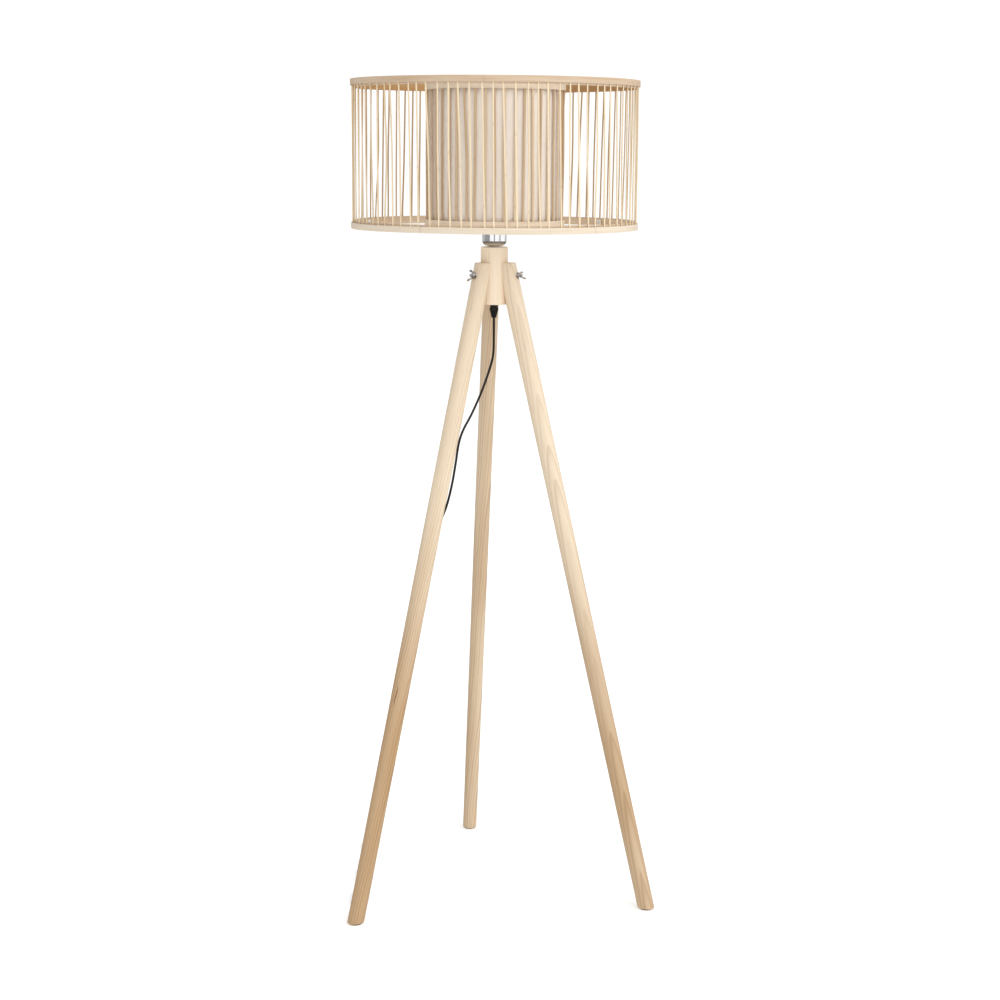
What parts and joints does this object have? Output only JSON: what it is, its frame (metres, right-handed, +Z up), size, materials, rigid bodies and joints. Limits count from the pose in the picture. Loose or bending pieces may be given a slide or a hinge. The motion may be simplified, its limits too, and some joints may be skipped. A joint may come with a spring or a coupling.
{
  "type": "tripod floor lamp",
  "caption": "Floor lamp on a splayed wooden tripod with a round slatted drum shade, a smaller lined slatted drum inside it and a mains cord down one leg.",
  "frame": {"origin": "on the floor at the middle of the lamp's plan box without its cord; the lamp's own upright axis stands 34 mm in front of it, at y = -0.0336", "axes": "+Z up, +Y towards the back leg, +X towards the right-hand front leg as seen from the front"},
  "size_m": [0.553, 0.5673, 1.463],
  "materials": {
    "hub_wood": "clear matt lacquer",
    "leg_wood": "clear matt lacquer",
    "hoop_wood": "clear matt lacquer",
    "slat_wood": "bare split bamboo",
    "liner_fabric": "plain weave",
    "chrome": "polished",
    "steel": "zinc plated",
    "painted_steel": "satin",
    "brass": "plain",
    "white_plastic": "moulded",
    "black_plastic": "moulded",
    "cord_rubber": "smooth",
    "pad_rubber": "matt",
    "opal_glass": "opal",
    "bulb_metal": "rolled thread",
    "blade_metal": "nickel plated"
  },
  "bodies": {
    "stand": {"hub": "hub_wood", "leg_left": "leg_wood", "leg_right": "leg_wood", "leg_back": "leg_wood", "foot_pads": "pad_rubber", "leg_studs": "steel", "leg_washers": "steel", "thread_tube": "steel", "seat_nut": "steel", "lamp_cup": "chrome", "cup_nut": "steel", "holder_body": "white_plastic", "holder_screw_shell": "brass", "holder_contact": "brass", "spider": "painted_steel", "drum_top_hoop": "hoop_wood", "drum_top_band": "hoop_wood", "drum_bottom_hoop": "hoop_wood", "drum_bottom_band": "hoop_wood", "drum_slats": "slat_wood", "core_top_hoop": "hoop_wood", "core_top_band": "hoop_wood", "core_bottom_hoop": "hoop_wood", "core_bottom_band": "hoop_wood", "core_slats": "slat_wood", "liner": "liner_fabric", "grip_body": "black_plastic", "grip_nut": "black_plastic", "cord_clips": "white_plastic", "cord_drop": "cord_rubber", "switch_base": "black_plastic", "switch_cover": "black_plastic", "cord_link": "cord_rubber", "cord_hank": "cord_rubber", "cord_tie": "pad_rubber", "cord_tail": "cord_rubber", "plug_body": "black_plastic", "plug_blades": "blade_metal"},
    "wing_left": {"wing_nut_left": "steel"},
    "wing_right": {"wing_nut_right": "steel"},
    "wing_back": {"wing_nut_back": "steel"},
    "ring": {"shade_ring": "white_plastic"},
    "bulb": {"bulb_glass": "opal_glass", "bulb_cap": "bulb_metal", "bulb_tip": "bulb_metal"},
    "rocker": {"switch_rocker": "black_plastic"}
  },
  "joints": [
    {"name": "wing_nut_left_turn", "type": "hinge", "parent": "stand", "child": "wing_left", "pos_m": [-0.04157, -0.05757, 1.13], "axis": [-0.866, -0.5, 0], "continuous": true},
    {"name": "wing_nut_right_turn", "type": "hinge", "parent": "stand", "child": "wing_right", "pos_m": [0.04157, -0.05757, 1.13], "axis": [0.866, -0.5, 0], "continuous": true},
    {"name": "wing_nut_back_turn", "type": "hinge", "parent": "stand", "child": "wing_back", "pos_m": [0, 0.01443, 1.13], "axis": [0, 1, 0], "continuous": true},
    {"name": "shade_ring_turn", "type": "hinge", "parent": "stand", "child": "ring", "pos_m": [0, -0.03357, 1.217], "axis": [0, 0, 1], "continuous": true},
    {"name": "bulb_turn", "type": "hinge", "parent": "stand", "child": "bulb", "pos_m": [0, -0.03357, 1.25], "axis": [0, 0, 1], "continuous": true},
    {"name": "rocker_tilt", "type": "hinge", "parent": "stand", "child": "rocker", "pos_m": [-0.24578, -0.07811, 0.0095], "axis": [0.9899, -0.1418, 0], "range_deg": [-14, 0]}
  ]
}
